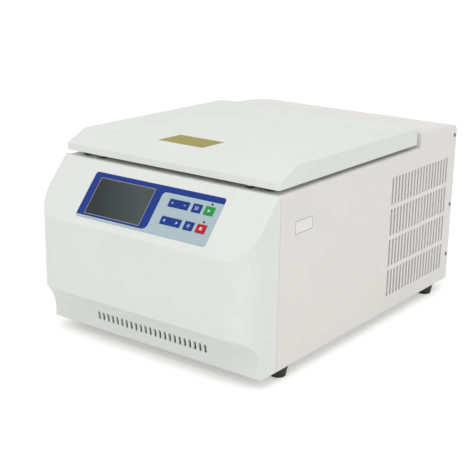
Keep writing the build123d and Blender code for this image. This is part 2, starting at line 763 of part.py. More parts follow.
with BuildPart() as lid_shell:
    add(lid_outline(0, lid_z))
    fillet(lid_shell.edges().filter_by(Axis.Z), lid_corner_radius)
    top_edges = lid_shell.edges().filter_by(lambda edge: edge.center().Z > lid_z + lid_lip - 1)
    fillet(top_edges, lid_edge_radius)
    add(lid_outline(wall, lid_z), mode=Mode.SUBTRACT)
lid_shell.part.label = "lid_shell"

with BuildPart() as lid_insulation:
    add(lid_outline(wall, lid_z + liner_thickness))
lid_insulation.part.label = "lid_insulation"

with BuildPart() as lid_liner:
    with BuildSketch(Plane.XY.offset(lid_z)):
        with Locations((0, (lid_front_y + lid_rear_y) / 2)):
            Rectangle(lid_width - 2 * wall, lid_length - 2 * wall)
    extrude(amount=liner_thickness)
lid_liner.part.label = "lid_liner"

hook_y = front_y + hook_back
hook_tip_z = lid_z - hook_length
bolt_z = hook_tip_z + hook_window / 2 + 4
with BuildPart() as lock_hooks:
    with BuildSketch(Plane.XY.offset(lid_z - 3)):
        with Locations((0, hook_y)):
            with GridLocations(hook_spacing, 1, 2, 1):
                Rectangle(3 * hook_thickness, hook_depth)
    extrude(amount=3)
    with BuildSketch(Plane.XY.offset(hook_tip_z)):
        with Locations((0, hook_y)):
            with GridLocations(hook_spacing, 1, 2, 1):
                Rectangle(hook_thickness, hook_depth)
    extrude(amount=hook_length - 3)
    with BuildSketch(Plane.YZ.offset(-side_x)):
        with Locations((hook_y, bolt_z)):
            Rectangle(bolt_diameter + 2, hook_window)
    extrude(amount=body_width, mode=Mode.SUBTRACT)
lock_hooks.part.label = "lock_hooks"

pin_radius = hinge_pin_diameter / 2
knuckle_radius = knuckle_diameter / 2
with BuildPart() as hinge_arms:
    with BuildSketch(Plane.YZ) as arm_profile:
        with BuildLine():
            Polyline((lid_rear_y - arm_reach, lid_z), (lid_rear_y - arm_reach, lid_z - arm_thickness),
                     (hinge_y, lid_z - arm_thickness), (hinge_y, lid_z), close=True)
        make_face()
        with Locations((hinge_y, hinge_z)):
            Circle(knuckle_radius)
            Circle(pin_radius + pin_gap, mode=Mode.SUBTRACT)
    for side in (-1, 1):
        extrude(arm_profile.sketch.moved(Location((side * hinge_spacing / 2, 0, 0))),
                amount=knuckle_width / 2, both=True)
hinge_arms.part.label = "hinge_arms"

# Fixed half of the hinge: a portal of folded sheet, cheeks on it and the pins
portal_front_y = hump_y + wall + fit_gap
portal_top_z = hinge_z - knuckle_radius - 6
portal_length = 2 * (hinge_y - portal_front_y)
with BuildPart() as hinge_portal:
    with BuildSketch(Plane.XZ.offset(-portal_front_y)) as portal_section:
        with Locations((0, floor_z)):
            Rectangle(2 * (inner_x - sheet - fit_gap), portal_top_z - floor_z, align=(Align.CENTER, Align.MIN))
            Rectangle(2 * (inner_x - 2 * sheet - fit_gap), portal_top_z - floor_z - sheet,
                      align=(Align.CENTER, Align.MIN), mode=Mode.SUBTRACT)
    extrude(amount=-portal_length)
hinge_portal.part.label = "hinge_portal"

cheek_offset = knuckle_width / 2 + fit_gap + cheek_thickness / 2
with BuildPart() as hinge_cheeks:
    with BuildSketch(Plane.YZ) as cheek_profile:
        with Locations((hinge_y, hinge_z)):
            Circle(knuckle_radius)
            Rectangle(knuckle_diameter, hinge_z - portal_top_z, align=(Align.CENTER, Align.MAX))
            Circle(pin_radius, mode=Mode.SUBTRACT)
    for side in (-1, 1):
        for cheek in (-1, 1):
            cheek_x = side * hinge_spacing / 2 + cheek * cheek_offset
            extrude(cheek_profile.sketch.moved(Location((cheek_x, 0, 0))), amount=cheek_thickness / 2, both=True)
hinge_cheeks.part.label = "hinge_cheeks"

with BuildPart() as hinge_pins:
    with BuildSketch(Plane.YZ) as pin_profile:
        with Locations((hinge_y, hinge_z)):
            Circle(pin_radius)
    for side in (-1, 1):
        extrude(pin_profile.sketch.moved(Location((side * hinge_spacing / 2, 0, 0))),
                amount=cheek_offset + cheek_thickness / 2 + 2, both=True)
hinge_pins.part.label = "hinge_pins"

# Lid lock: one bar with two bolts slides across under the deck, driven by an actuator at its left end
bar_front_y = hook_y - hook_depth / 2 - hook_clearance - bar_thickness
bolt_tip_x = -hook_thickness / 2 - 2
bolt_length = bolt_travel + 4
bar_left_x = -hook_spacing / 2 - 34
with BuildPart() as latch_bar:
    with BuildSketch(Plane.YZ.offset(bar_left_x)):
        with Locations((bar_front_y, bolt_z)):
            Rectangle(bar_thickness, bar_height, align=(Align.MIN, Align.CENTER))
    extrude(amount=hook_spacing + 20)
    for side in (-1, 1):
        tip_x = side * hook_spacing / 2 + bolt_tip_x
        with BuildSketch(Plane.YZ.offset(tip_x)):
            with Locations((hook_y, bolt_z)):
                Circle(bolt_diameter / 2)
        extrude(amount=-bolt_length)
        with BuildSketch(Plane.YZ.offset(tip_x - bolt_length)):
            with Locations((bar_front_y, bolt_z)):
                Rectangle(hook_y + bolt_diameter / 2 - bar_front_y, bar_height - 4, align=(Align.MIN, Align.CENTER))
        extrude(amount=-8)
latch_bar.part.label = "latch_bar"

with BuildPart() as bolt_guides:
    guide_low_z = bolt_z - bar_height / 2 - 4
    with BuildSketch(Plane.XY.offset(guide_low_z)):
        with Locations((0, bar_front_y + bar_thickness / 2)):
            with GridLocations(guide_spacing, 1, 2, 1):
                Rectangle(16, bar_thickness + 6)
    extrude(amount=deck_under_z - guide_low_z)
    with BuildSketch(Plane.YZ.offset(-side_x)):
        with Locations((bar_front_y + bar_thickness / 2, bolt_z)):
            Rectangle(bar_thickness + 2 * fit_gap, bar_height + 2 * fit_gap)
    extrude(amount=body_width, mode=Mode.SUBTRACT)
bolt_guides.part.label = "bolt_guides"

with BuildPart() as lock_actuator:
    actuator_x = bar_left_x - 2
    with BuildSketch(Plane.YZ.offset(actuator_x)):
        with Locations((bar_front_y - 2, deck_under_z)):
            Rectangle(26, 48, align=(Align.MIN, Align.MAX))
    extrude(amount=-22)
    with BuildSketch(Plane.YZ.offset(actuator_x)):
        with Locations((bar_front_y + bar_thickness / 2, bolt_z)):
            Circle(bar_thickness / 2)
    extrude(amount=1.5)
lock_actuator.part.label = "lock_actuator"

with BuildPart() as lid_bumpers:
    with BuildSketch(Plane.XY.offset(deck_z)):
        with Locations((0, hook_y)):
            with GridLocations(bumper_spacing, 1, 2, 1):
                Circle(bumper_diameter / 2)
    extrude(amount=lid_gap - fit_gap)
    fillet(lid_bumpers.edges().group_by(Axis.Z)[-1], 2)
lid_bumpers.part.label = "lid_bumpers"

# Control panel: overlay, screen, keys, lamps, and the board with its switches behind them
with BuildPart() as control_overlay:
    with BuildSketch(panel_plane.offset(-overlay_recess)):
        with Locations((overlay_u, overlay_v)):
            RectangleRounded(overlay_width, overlay_height, overlay_radius)
        with Locations((screen_u, screen_v)):
            Rectangle(screen_width, screen_height, mode=Mode.SUBTRACT)
        with Locations(*small_keys):
            Rectangle(key_width + 2 * fit_gap, key_height + 2 * fit_gap, mode=Mode.SUBTRACT)
        with Locations(*rocker_keys):
            Rectangle(rocker_width + 2 * rocker_play, rocker_height + 2 * fit_gap, mode=Mode.SUBTRACT)
        with Locations(*led_places):
            Circle(led_diameter / 2, mode=Mode.SUBTRACT)
    extrude(amount=overlay_thickness)
control_overlay.part.label = "control_overlay"

with BuildPart() as display_window:
    with BuildSketch(panel_plane.offset(-wall)):
        with Locations((screen_u, screen_v)):
            Rectangle(screen_width, screen_height)
    extrude(amount=wall + overlay_thickness - overlay_recess)
display_window.part.label = "display_window"

with BuildPart() as display_module:
    with BuildSketch(panel_plane.offset(-wall)):
        with Locations((screen_u, screen_v)):
            Rectangle(screen_width + 6, screen_height + 6)
    extrude(amount=wall - board_depth)
display_module.part.label = "display_module"

with BuildPart() as control_board:
    with BuildSketch(panel_plane.offset(-board_depth)):
        with Locations((overlay_u, overlay_v)):
            Rectangle(board_width, board_height)
    extrude(amount=-board_thickness)
control_board.part.label = "control_board"

rocker_switch_offset = rocker_width / 2 - 6
switch_places = small_keys + [(u + side * rocker_switch_offset, v) for u, v in rocker_keys for side in (-1, 1)]
plunger_top = stem_depth + key_travel + 0.1
with BuildPart() as key_switches:
    with BuildSketch(panel_plane.offset(-board_depth)):
        with Locations(*switch_places):
            Rectangle(switch_body, switch_body)
    extrude(amount=switch_height)
    with BuildSketch(panel_plane.offset(switch_height - board_depth)):
        with Locations(*switch_places):
            Circle(1.7)
    extrude(amount=board_depth - switch_height - plunger_top)
key_switches.part.label = "key_switches"

with BuildPart() as status_lamps:
    with BuildSketch(panel_plane.offset(-board_depth)):
        with Locations(*led_places):
            Circle(led_diameter / 2 - pin_gap)
    extrude(amount=board_depth + overlay_thickness - overlay_recess)
status_lamps.part.label = "status_lamps"

key_seat = wall + 0.1


def panel_key(place, width, height, ears, stems, flange_drop):
    """A key cap with its retaining flange under the moulding and its stems down to the switches."""
    with BuildPart() as key:
        with BuildSketch(panel_plane.offset(-stem_depth)):
            with Locations(*stems):
                Circle(2)
        extrude(amount=stem_depth - key_seat)
        with BuildSketch(panel_plane.offset(-key_seat - flange_drop)):
            with Locations(place):
                Rectangle(*ears)
        extrude(amount=-key_flange_thickness)
        with BuildSketch(panel_plane.offset(-key_seat - flange_drop)):
            with Locations(place):
                RectangleRounded(width, height, 2)
        extrude(amount=key_seat + flange_drop + key_top)
        fillet(key.faces().sort_by(panel_axis)[-1].edges(), 0.4)
    return key.part


key_names = ("cool_key", "stop_key", "menu_key", "start_key")
keys = {}
for name, place in zip(key_names, small_keys):
    ears = (key_width + 2 * key_flange, key_height + 2 * key_flange)
    keys[name] = panel_key(place, key_width, key_height, ears, [place], 0)
for name, place in zip(("value_key", "select_key"), rocker_keys):
    stems = [(place[0] + side * rocker_switch_offset, place[1]) for side in (-1, 1)]
    ears = (8, rocker_height + 2 * key_flange)
    keys[name] = panel_key(place, rocker_width, rocker_height, ears, stems, rocker_lift)
for name, key in keys.items():
    key.label = name

# Refrigeration set: compressor on rubber grommets, condenser with its fan, drier and pipes
condenser_x = side_x - condenser_inset
condenser_y = (bulkhead_y + rear_y) / 2 - condenser_shift
condenser_length = rear_room - 2 * condenser_end_room
compressor_x = compressor_inset - side_x
compressor_y = condenser_y + fin_pitch / 2
compressor_radius = rear_room * compressor_share / 2
grommet_reach = compressor_radius - grommet_inset
grommet_places = [(compressor_x + side * grommet_reach, compressor_y + end * grommet_reach)
                  for side in (-1, 1) for end in (-1, 1)]
compressor_z = floor_z + grommet_height
with BuildPart() as compressor_grommets:
    with BuildSketch(Plane.XY.offset(floor_z)):
        with Locations(*grommet_places):
            Circle(grommet_diameter / 2)
    extrude(amount=grommet_height)
compressor_grommets.part.label = "compressor_grommets"

with BuildPart() as compressor:
    with BuildSketch(Plane.XY.offset(compressor_z)):
        with Locations((compressor_x, compressor_y)):
            base_side = 2 * grommet_reach + 26
            RectangleRounded(base_side, base_side, 12)
    extrude(amount=3)
    with BuildSketch(Plane.XY.offset(compressor_z + 3)):
        with Locations((compressor_x, compressor_y)):
            Circle(compressor_radius)
    extrude(amount=compressor_height)
    fillet(compressor.edges().filter_by(GeomType.CIRCLE).sort_by(Axis.Z)[-1], compressor_radius / 2)
    with BuildSketch(Plane.XZ.offset(-compressor_y + compressor_radius - 4)):
        with Locations((compressor_x, compressor_z + 60)):
            Rectangle(40, 50)
    extrude(amount=22)
compressor.part.label = "compressor"

condenser_left = condenser_x - condenser_width / 2
fan_z = base_z + fan_rise
with BuildPart() as condenser:
    with BuildSketch(Plane.XY.offset(floor_z)):
        with Locations((condenser_x, condenser_y)):
            Rectangle(condenser_width, condenser_length)
    extrude(amount=condenser_height)
    with BuildSketch(Plane.XY.offset(floor_z + condenser_height)):
        with Locations((condenser_x, condenser_y)):
            with GridLocations(1, fin_pitch, 1, int(condenser_length // fin_pitch)):
                Rectangle(condenser_width, 12)
    extrude(amount=-6, mode=Mode.SUBTRACT)
condenser.part.label = "condenser"

shroud_plane = Plane(origin=(condenser_left, condenser_y, fan_z), x_dir=(0, 1, 0), z_dir=(-1, 0, 0))
fan_side = condenser_length - 2 * fan_margin
fan_bore = fan_side - 2 * fan_rim
fan_radius = fan_bore / 2 - blade_tip_gap
with BuildPart() as fan_shroud:
    with BuildSketch(shroud_plane):
        RectangleRounded(fan_side, fan_side, 6)
        Circle(fan_bore / 2, mode=Mode.SUBTRACT)
    extrude(amount=fan_depth)
fan_shroud.part.label = "fan_shroud"

with BuildPart() as fan_motor:
    with BuildSketch(shroud_plane.offset(fan_depth)):
        Circle(fan_motor_diameter / 2)
        for angle in (0, 60, 120):
            Rectangle(fan_bore + 8, 6, rotation=angle)
    extrude(amount=3)
    with BuildSketch(shroud_plane.offset(fan_depth + 3)):
        Circle(fan_motor_diameter / 2)
    extrude(amount=fan_motor_length)
    with BuildSketch(shroud_plane.offset(fan_depth)):
        Circle(3 + pin_gap)
    extrude(amount=20, mode=Mode.SUBTRACT)
fan_motor.part.label = "fan_motor"

with BuildPart() as fan_impeller:
    with BuildSketch(shroud_plane.offset(5)):
        Circle(fan_hub_diameter / 2)
    extrude(amount=fan_depth - 8)
    with BuildSketch(shroud_plane.offset(fan_depth - 4)):
        Circle(3)
    extrude(amount=20)
    for index in range(blade_count):
        spoke = Plane(origin=(condenser_left - fan_depth / 2, condenser_y, fan_z), x_dir=(-1, 0, 0),
                      z_dir=(0, cos(2 * radians(180) * index / blade_count),
                             sin(2 * radians(180) * index / blade_count)))
        with BuildSketch(spoke.offset(fan_hub_diameter / 2 - 3)):
            Rectangle(2, 26, rotation=48)
        with BuildSketch(spoke.offset(fan_radius)):
            Rectangle(2, 44, rotation=26)
        loft()
fan_impeller.part.label = "fan_impeller"

drier_x = 40
drier_y = condenser_y - condenser_length / 2 + 8
drier_z = base_z + 70
with BuildPart() as filter_drier:
    with BuildSketch(Plane.XY.offset(drier_z)):
        with Locations((drier_x, drier_y)):
            Circle(drier_diameter / 2)
    extrude(amount=drier_length)
    fillet(filter_drier.edges().filter_by(GeomType.CIRCLE), 5)
filter_drier.part.label = "filter_drier"

with BuildPart() as drive_inverter:
    inverter_x = -inner_x + 2 * sheet + fit_gap
    inverter_length = rear_room - inverter_front_room - inverter_rear_room
    inverter_y = bulkhead_y + inverter_front_room + inverter_length / 2
    with BuildSketch(Plane.XY.offset(floor_z)):
        with Locations((inverter_x, inverter_y)):
            Rectangle(inverter_width, inverter_length, align=(Align.MIN, Align.CENTER))
    extrude(amount=inverter_height)
    with BuildSketch(Plane.XY.offset(floor_z + inverter_height)):
        with Locations((inverter_x, inverter_y)):
            with GridLocations(1, inverter_fin_pitch, 1, int((inverter_length - 20) // inverter_fin_pitch)):
                Rectangle(inverter_width, 11, align=(Align.MIN, Align.CENTER))
    extrude(amount=-12, mode=Mode.SUBTRACT)
drive_inverter.part.label = "drive_inverter"

pipe_radius = pipe_diameter / 2
top_pipe_z = compressor_z + 3 + compressor_height
liquid_z = drier_z - 44
high_pipe_z = floor_z + condenser_height + 30
suction_z = top_pipe_z + 25
return_z = drier_z + drier_length + 25
stub_x = compressor_radius / 3
routes = (
    [(compressor_x + stub_x, compressor_y, top_pipe_z), (compressor_x + stub_x, compressor_y, high_pipe_z),
     (condenser_x, compressor_y, high_pipe_z), (condenser_x, compressor_y, floor_z + condenser_height)],
    [(condenser_left, drier_y, liquid_z), (drier_x, drier_y, liquid_z), (drier_x, drier_y, drier_z)],
    [(drier_x, drier_y, drier_z + drier_length), (drier_x, drier_y, return_z),
     (drier_x, bulkhead_y + sheet, return_z)],
    [(compressor_x - stub_x, bulkhead_y + sheet, suction_z), (compressor_x - stub_x, compressor_y, suction_z),
     (compressor_x - stub_x, compressor_y, top_pipe_z)],
)
with BuildPart() as refrigerant_pipes:
    for route in routes:
        with BuildLine() as pipe_line:
            FilletPolyline(*route, radius=pipe_bend)
        with BuildSketch(Plane(origin=route[0], z_dir=Vector(*route[1]) - Vector(*route[0]))):
            Circle(pipe_radius)
        sweep(path=pipe_line.line)
refrigerant_pipes.part.label = "refrigerant_pipes"

os.makedirs("parts", exist_ok=True)
pieces = (
    front_moulding, cabinet_cover, base_tray, rubber_feet, foot_screws, rear_panel, cover_screws, mains_inlet,
    switch_frame, mains_switch, chamber_bowl, evaporator_jacket, chamber_insulation, chamber_seal,
    chamber_sensor, chamber_shelf, bulkhead, motor_dampers, motor_plate, motor_housing, motor_stator,
    motor_bearings, spindle_boot, spindle, motor_armature, angle_rotor, rotor_nut, lid_shell, lid_insulation,
    lid_liner, lock_hooks, hinge_arms, hinge_portal, hinge_cheeks, hinge_pins, latch_bar, bolt_guides,
    lock_actuator, lid_bumpers, control_overlay, display_window, display_module, control_board, key_switches,
    status_lamps, compressor_grommets, compressor, condenser, fan_shroud, fan_motor, fan_impeller,
    filter_drier, drive_inverter, refrigerant_pipes,
)
for piece in pieces:
    export_step(piece.part, "parts/" + piece.part.label + ".step")
for name, key in keys.items():
    export_step(key, "parts/" + name + ".step")
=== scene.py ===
from math import atan2, cos, pi, radians, sin

import bmesh
import bpy
from mathutils import Matrix, Vector


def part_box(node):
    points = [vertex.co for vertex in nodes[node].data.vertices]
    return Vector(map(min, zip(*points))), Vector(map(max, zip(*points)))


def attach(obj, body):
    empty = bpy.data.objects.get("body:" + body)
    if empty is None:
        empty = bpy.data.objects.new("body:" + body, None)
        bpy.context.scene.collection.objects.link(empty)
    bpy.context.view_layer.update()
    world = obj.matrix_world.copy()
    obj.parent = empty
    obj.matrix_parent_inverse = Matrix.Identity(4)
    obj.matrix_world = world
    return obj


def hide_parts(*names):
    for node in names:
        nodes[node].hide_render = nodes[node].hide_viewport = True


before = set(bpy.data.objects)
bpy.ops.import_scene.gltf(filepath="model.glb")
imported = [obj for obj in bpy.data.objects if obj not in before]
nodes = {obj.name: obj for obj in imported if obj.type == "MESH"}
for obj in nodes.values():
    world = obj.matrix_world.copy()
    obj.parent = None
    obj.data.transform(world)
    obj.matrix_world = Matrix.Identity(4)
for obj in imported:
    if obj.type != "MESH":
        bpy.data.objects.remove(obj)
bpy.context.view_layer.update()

# The studio: the machine stands on a sheet of pale paper under one broad soft lamp above its front, with a
# weak one on its right and white all round. The camera is the photograph's, found from the straight edges
# of the cabinet. Each lamp has its power in watts, its width and its place.
camera_place = Vector((1.04785, -1.46734, 0.68461))
camera_lens = 81.64
camera_sensor = 36
camera_turn = radians(36.71)
camera_dip = radians(16.95)
camera_roll = radians(0.95)
lamps = (("key_light", 13, 1.6, Vector((0.7, -1.45, 2.25))),
         ("fill_light", 1.2, 1.4, Vector((1.8, -0.2, 1.0))))
lamp_target = Vector((0, 0, 0.15))
sky_level = 0.76
backdrop_white = 1.0
paper_size = 12
paper_colour = "#F6F6F4"
paper_glow = 0.35
paper_grain = 0.01111
paper_depth = 0.0001


def linear(code):
    """sRGB hex colour as linear RGBA."""
    parts = [int(code[i:i + 2], 16) / 255 for i in (1, 3, 5)]
    return [c / 12.92 if c <= 0.04045 else ((c + 0.055) / 1.055) ** 2.4 for c in parts] + [1]


def add(tree, kind, inputs=(), **settings):
    """New node. Each input is given by its name, or by its number where names repeat, and is a value or the
    socket that feeds it.
    """
    new = tree.nodes.new(kind)
    for key, value in settings.items():
        setattr(new, key, value)
    for key, value in dict(inputs).items():
        if isinstance(value, bpy.types.NodeSocket):
            tree.links.new(value, new.inputs[key])
        else:
            new.inputs[key].default_value = value
    return new


def in_sight(tree):
    """Mask that is 1 for what the camera sees straight, in a reflection or through glass."""
    path = add(tree, "ShaderNodeLightPath").outputs
    indirect = add(tree, "ShaderNodeMath", {0: path["Is Glossy Ray"], 1: path["Is Transmission Ray"]},
                   operation="MAXIMUM").outputs[0]
    return add(tree, "ShaderNodeMath", {0: path["Is Camera Ray"], 1: indirect},
               operation="MAXIMUM").outputs[0]


def blank(name):
    """Material with its Principled shader, and the object's own coordinates to work from."""
    material = bpy.data.materials.new(name)
    material.use_nodes = True
    tree = material.node_tree
    place = add(tree, "ShaderNodeTexCoord").outputs["Object"]
    return material, tree, tree.nodes["Principled BSDF"], place


forward = Vector((-sin(camera_turn) * cos(camera_dip), cos(camera_turn) * cos(camera_dip), -sin(camera_dip)))
level = Vector((cos(camera_turn), sin(camera_turn), 0))
rise = level.cross(forward)
right = level * cos(camera_roll) + rise * sin(camera_roll)
up = rise * cos(camera_roll) - level * sin(camera_roll)
camera = bpy.data.objects.new("camera", bpy.data.cameras.new("camera"))
camera.data.lens = camera_lens
camera.data.sensor_width = camera_sensor
camera.matrix_world = Matrix.Translation(camera_place) @ Matrix((right, up, -forward)).transposed().to_4x4()
bpy.context.scene.collection.objects.link(camera)
bpy.context.scene.camera = camera
bpy.context.scene.view_settings.view_transform = "Standard"

for name, power, width, place in lamps:
    lamp = bpy.data.objects.new(name, bpy.data.lights.new(name, "AREA"))
    lamp.data.energy = power
    lamp.data.size = width
    lamp.location = place
    lamp.rotation_euler = (lamp_target - place).to_track_quat("-Z", "Y").to_euler()
    bpy.context.scene.collection.objects.link(lamp)

world = bpy.data.worlds.new("studio")
bpy.context.scene.world = world
world.use_nodes = True
sky = world.node_tree
sky.nodes.clear()
soft = add(sky, "ShaderNodeBackground", {"Color": linear("#FFFFFF"), "Strength": sky_level})
plain = add(sky, "ShaderNodeBackground", {"Color": linear("#FFFFFF"), "Strength": backdrop_white})
mixed = add(sky, "ShaderNodeMixShader", {0: in_sight(sky), 1: soft.outputs[0], 2: plain.outputs[0]})
add(sky, "ShaderNodeOutputWorld", {"Surface": mixed.outputs[0]})

floor_mesh = bpy.data.meshes.new("floor")
sheet = bmesh.new()
bmesh.ops.create_grid(sheet, x_segments=1, y_segments=1, size=paper_size)
sheet.to_mesh(floor_mesh)
sheet.free()
floor = bpy.data.objects.new("floor", floor_mesh)
bpy.context.scene.collection.objects.link(floor)
# Matt background paper: an even, pale, unglossy ground that keeps the shadow and fades into the white
paper, tree, shader, place = blank("matt_background_paper")
fibres = add(tree, "ShaderNodeTexNoise", {"Vector": place, "Scale": 1 / paper_grain})
relief = add(tree, "ShaderNodeBump", {"Height": fibres.outputs["Fac"], "Distance": paper_depth})
tree.links.new(relief.outputs[0], shader.inputs["Normal"])
shader.inputs["Base Color"].default_value = linear(paper_colour)
shader.inputs["Roughness"].default_value = 0.9
shader.inputs["Emission Color"].default_value = linear("#FFFFFF")
glow = add(tree, "ShaderNodeMath", {0: in_sight(tree), 1: paper_glow}, operation="MULTIPLY").outputs[0]
tree.links.new(glow, shader.inputs["Emission Strength"])
floor_mesh.materials.append(paper)

# Base tray and rear panel: 2 mm steel sheet, cut, folded and powder coated grey. The tray carries all that
# stands inside; the panel closes the cover from behind and is held by the screws in the cover's rear edges.
coat_grey = "#B9BBBA"
drift_width = 0.0714
gloss_drift = 0.08


def finish(name, colour, roughness, grain, depth, mottle=0.03, metallic=0.0, stretch=(1, 1, 1), edge=0.0,
           shine=0.5):
    """Grained surface: grain and depth are its width and relief, and edge rounds its edges, in millimetres.

    The colour drifts by the share mottle over broad patches, and the gloss varies with the grain.
    """
    material, tree, shader, place = blank(name)
    run = add(tree, "ShaderNodeMapping", {"Vector": place, "Scale": stretch}).outputs[0]
    fine = add(tree, "ShaderNodeTexNoise", {"Vector": run, "Scale": 1000 / grain,
                                            "Detail": 4.0}).outputs["Fac"]
    broad = add(tree, "ShaderNodeTexNoise", {"Vector": place, "Scale": 1 / drift_width,
                                             "Detail": 3.0}).outputs["Fac"]
    base = linear(colour)
    dark, light = ([min(1.0, c * (1 + way * mottle)) for c in base[:3]] + [1] for way in (-1, 1))
    tone = add(tree, "ShaderNodeMix", {0: broad, 6: dark, 7: light}, data_type="RGBA")
    gloss = add(tree, "ShaderNodeMapRange", {"Value": fine, 3: roughness - gloss_drift,
                                             4: roughness + gloss_drift})
    bump = add(tree, "ShaderNodeBump", {"Height": fine, "Distance": depth / 1000})
    if edge:
        rounded = add(tree, "ShaderNodeBevel", {"Radius": edge / 1000}, samples=4)
        tree.links.new(rounded.outputs[0], bump.inputs["Normal"])
    tree.links.new(tone.outputs[2], shader.inputs["Base Color"])
    tree.links.new(gloss.outputs[0], shader.inputs["Roughness"])
    tree.links.new(bump.outputs[0], shader.inputs["Normal"])
    shader.inputs["Metallic"].default_value = metallic
    shader.inputs["Specular IOR Level"].default_value = shine
    return material


def dress(material, *names):
    """Put a finish on every material slot of the named CAD nodes."""
    for name in names:
        for slot in nodes[name].material_slots:
            slot.material = material


# Grey powder coat: a soft satin with the orange peel of baked powder, about 2 mm across
dress(finish("grey_powder_coated_steel", coat_grey, 0.45, grain=2, depth=0.03, edge=0.4),
      "base_tray", "rear_panel")

# Rubber feet: four moulded cones under the tray, each held by one countersunk screw up through its middle.
# The screws are blackened steel with a cross recess. They are set out from one modelled screw.
foot_black = "#353334"
screw_black = "#4D4A47"
head_radius = 0.0038
head_depth = 0.002
shank_radius = 0.002
recess_reach = 0.0022
recess_width = 0.0007
recess_depth = 0.0012
recess_taper = 0.6
screw_turn = radians(20)
screw_facets = 24
# Moulded rubber: nearly matt black, patchy where dust clings to it
dress(finish("moulded_foot_rubber", foot_black, 0.78, grain=0.6, depth=0.04, mottle=0.25, edge=0.6),
      "rubber_feet")
# Blackened steel: a dark oily sheen, a little brown where the oxide is thin
blackened_steel = finish("blackened_screw_steel", screw_black, 0.4, grain=0.3, depth=0.02, mottle=0.15,
                         metallic=0.8)


def cross_screw(name, cone_depth, length):
    """Countersunk screw with its head's face at the origin and its shank along -Z."""
    shape = bmesh.new()

    def ring(radius, z):
        turns = [2 * pi * i / screw_facets for i in range(screw_facets)]
        return [shape.verts.new((radius * cos(turn), radius * sin(turn), z)) for turn in turns]

    def wall(upper, lower):
        for i in range(len(upper)):
            shape.faces.new((upper[i - 1], upper[i], lower[i], lower[i - 1]))

    rim, neck, tip = ring(head_radius, 0), ring(shank_radius, -cone_depth), ring(shank_radius, -length)
    wall(rim, neck)
    wall(neck, tip)
    shape.faces.new(tip[::-1])
    arm, half = recess_reach, recess_width / 2
    quarter = [Vector((arm, -half)), Vector((arm, half)), Vector((half, half))]
    cross = [Matrix.Rotation(screw_turn + pi / 2 * k, 2) @ corner for k in range(4) for corner in quarter]
    mouth = [shape.verts.new((x, y, 0)) for x, y in cross]
    bottom = [shape.verts.new((x * recess_taper, y * recess_taper, -recess_depth)) for x, y in cross]
    wall(mouth, bottom)
    shape.faces.new(bottom)
    face_edges = {edge for vert in rim + mouth for edge in vert.link_edges
                  if edge.verts[0].co.z == 0 and edge.verts[1].co.z == 0}
    bmesh.ops.triangle_fill(shape, edges=list(face_edges), use_beauty=True, normal=(0, 0, 1))
    bmesh.ops.recalc_face_normals(shape, faces=shape.faces)
    mesh = bpy.data.meshes.new(name)
    shape.to_mesh(mesh)
    shape.free()
    return bpy.data.objects.new(name, mesh)


def set_out(name, screw, places, body, node):
    """Stand one screw at each place, its head facing the way given, and let the set replace its CAD node."""
    points = bpy.data.meshes.new(name)
    points.from_pydata([place for place, _ in places], [], [])
    facing = points.attributes.new("facing", "FLOAT_VECTOR", "POINT")
    for index, (_, way) in enumerate(places):
        facing.data[index].vector = way
    tree = bpy.data.node_groups.new(name, "GeometryNodeTree")
    tree.interface.new_socket("Geometry", in_out="INPUT", socket_type="NodeSocketGeometry")
    tree.interface.new_socket("Screw", in_out="INPUT", socket_type="NodeSocketObject")
    tree.interface.new_socket("Geometry", in_out="OUTPUT", socket_type="NodeSocketGeometry")
    given = add(tree, "NodeGroupInput")
    way = add(tree, "GeometryNodeInputNamedAttribute", {"Name": "facing"}, data_type="FLOAT_VECTOR")
    turned = add(tree, "FunctionNodeAlignRotationToVector", {"Vector": way.outputs[0]}, axis="Z")
    shape = add(tree, "GeometryNodeObjectInfo", {"Object": given.outputs["Screw"]})
    stood = add(tree, "GeometryNodeInstanceOnPoints", {"Points": given.outputs["Geometry"],
                                                      "Instance": shape.outputs["Geometry"],
                                                      "Rotation": turned.outputs[0]})
    real = add(tree, "GeometryNodeRealizeInstances", {"Geometry": stood.outputs[0]})
    coated = add(tree, "GeometryNodeSetMaterial", {"Geometry": real.outputs[0], "Material": blackened_steel})
    add(tree, "NodeGroupOutput", {"Geometry": coated.outputs[0]})
    holder = bpy.data.objects.new(name + "_places", points)
    bpy.context.scene.collection.objects.link(holder)
    maker = holder.modifiers.new("set_out", "NODES")
    maker.node_group = tree
    maker[tree.interface.items_tree["Screw"].identifier] = screw
    made = bpy.data.meshes.new_from_object(holder.evaluated_get(bpy.context.evaluated_depsgraph_get()))
    bpy.data.objects.remove(holder)
    piece = bpy.data.objects.new(name, made)
    bpy.context.scene.collection.objects.link(piece)
    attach(piece, body)
    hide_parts(node)


screws_low, screws_high = (Vector(corner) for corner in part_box("foot_screws"))
foot_places = [((x, y, screws_low.z), (0, 0, -1))
               for x in (screws_low.x + head_radius, screws_high.x - head_radius)
               for y in (screws_low.y + head_radius, screws_high.y - head_radius)]
foot_screw = cross_screw("foot_screw", head_depth, screws_high.z - screws_low.z)
set_out("foot_crosshead_screws", foot_screw, foot_places, "housing", "foot_screws")

# Bulkhead, chamber shelf, hinge portal, motor plate and bolt guides: plain galvanised sheet and plate, cut
# and folded, with no paint, because the cover hides them. The first three stand on the tray, the motor plate
# lies on the motor's rubber dampers, and the guides hang from the deck.
zinc_grey = "#A9ACAD"
spangle_width = 0.00909
spangle_dark = 0.82


def coordinates(tree):
    """The object's own coordinates, which every finish starts from."""
    return next(node for node in tree.nodes if node.type == "TEX_COORD").outputs["Object"]


